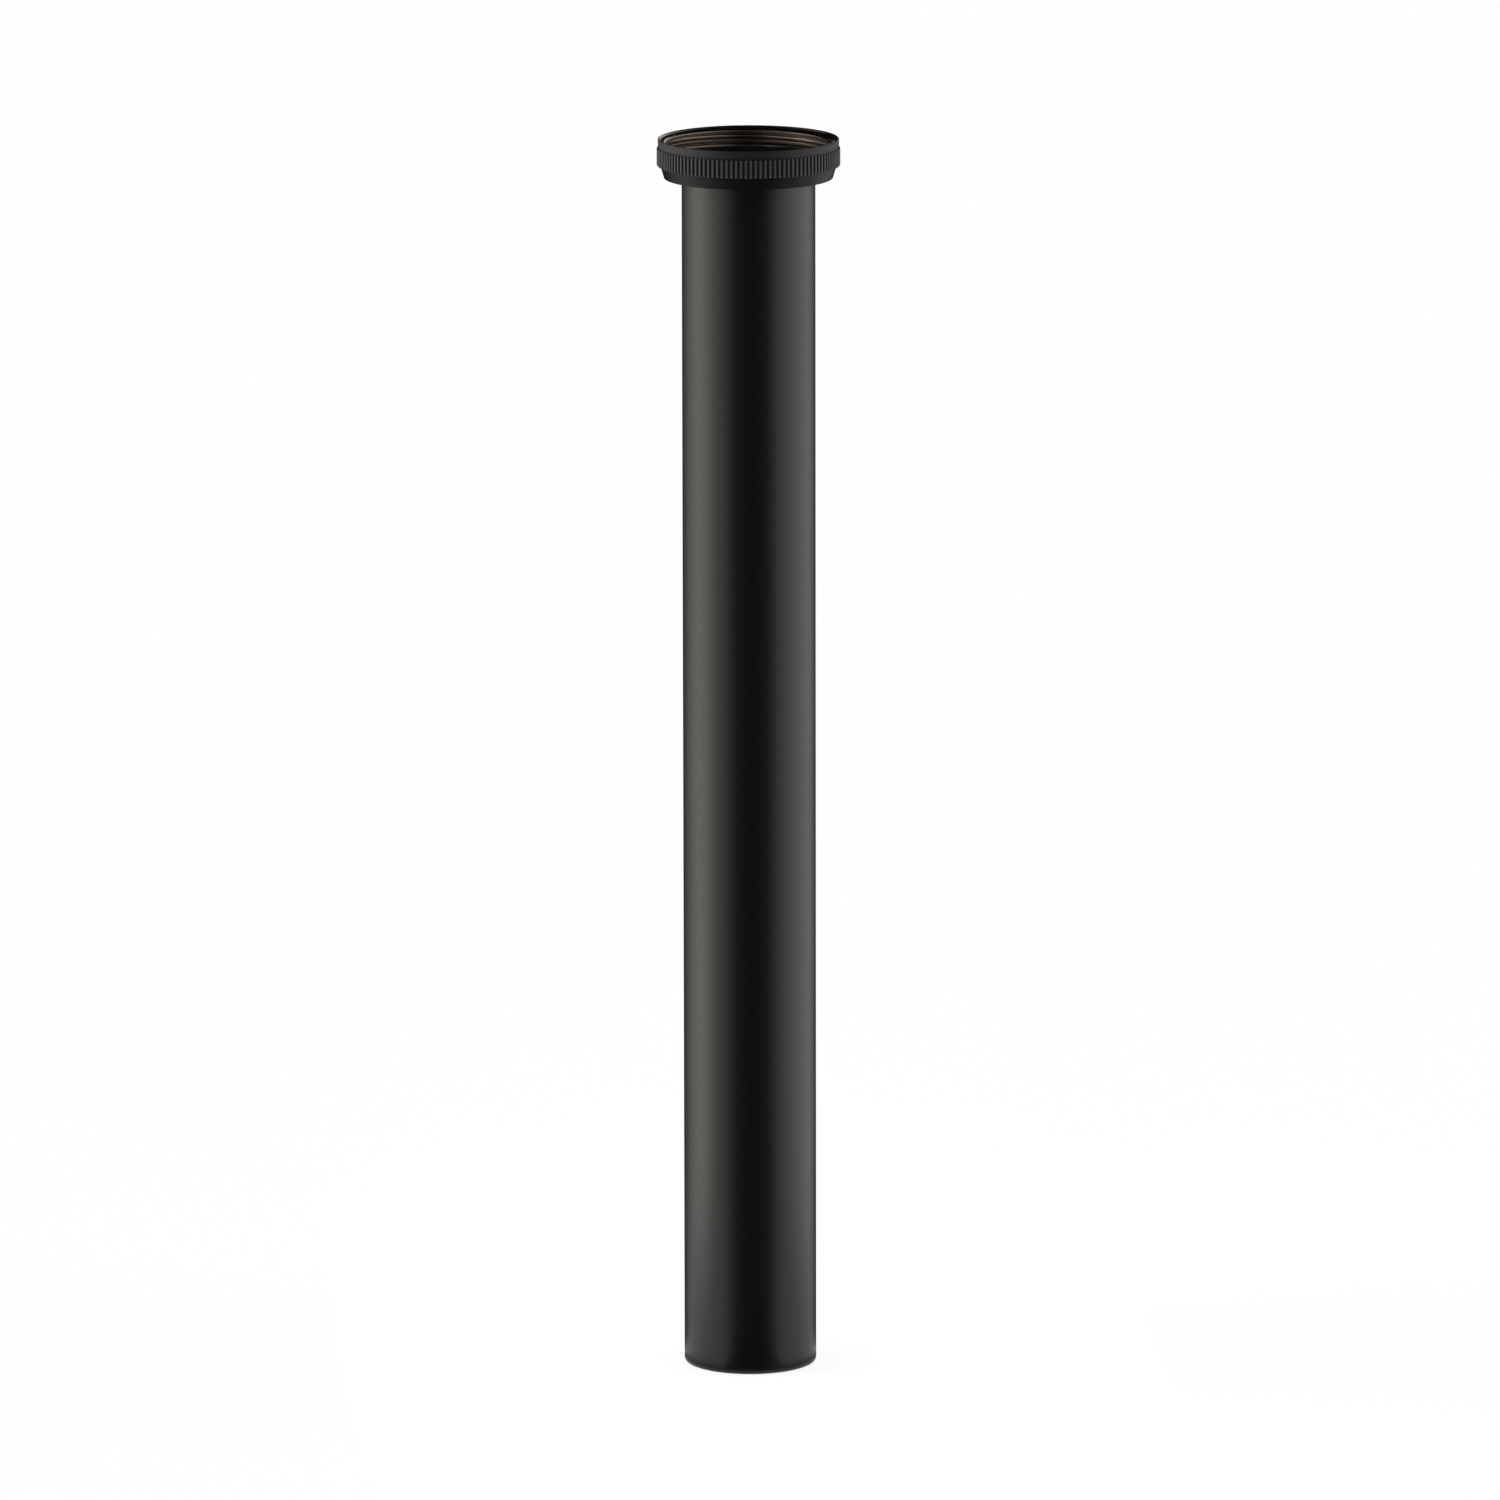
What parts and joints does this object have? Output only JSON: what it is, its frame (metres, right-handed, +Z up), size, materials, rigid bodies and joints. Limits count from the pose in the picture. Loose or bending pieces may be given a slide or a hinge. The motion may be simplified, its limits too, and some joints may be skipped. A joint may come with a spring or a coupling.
{
  "type": "basin waste tail pipe",
  "caption": "Straight matt black waste tube with a captive round knurled union nut and a flat seal at its top, standing on its square cut end.",
  "frame": {"origin": "centre of the pipe's cut end, on the surface that it stands on", "axes": "+Z up along the pipe's axis, from the cut end to the nut"},
  "size_m": [0.044, 0.044, 0.3],
  "materials": {
    "pipe_finish": "satin to matt black coating on brass tube",
    "nut_finish": "matt black coating on turned brass, slightly duller than the tube",
    "seal_rubber": "flat black rubber"
  },
  "bodies": {
    "pipe": {"tail_pipe": "pipe_finish", "sealing_washer": "seal_rubber"},
    "nut": {"union_nut": "nut_finish"}
  },
  "joints": [
    {"name": "nut_turn", "type": "hinge", "parent": "pipe", "child": "nut", "pos_m": [0, 0, 0.2953], "axis": [0, 0, 1], "continuous": true}
  ]
}
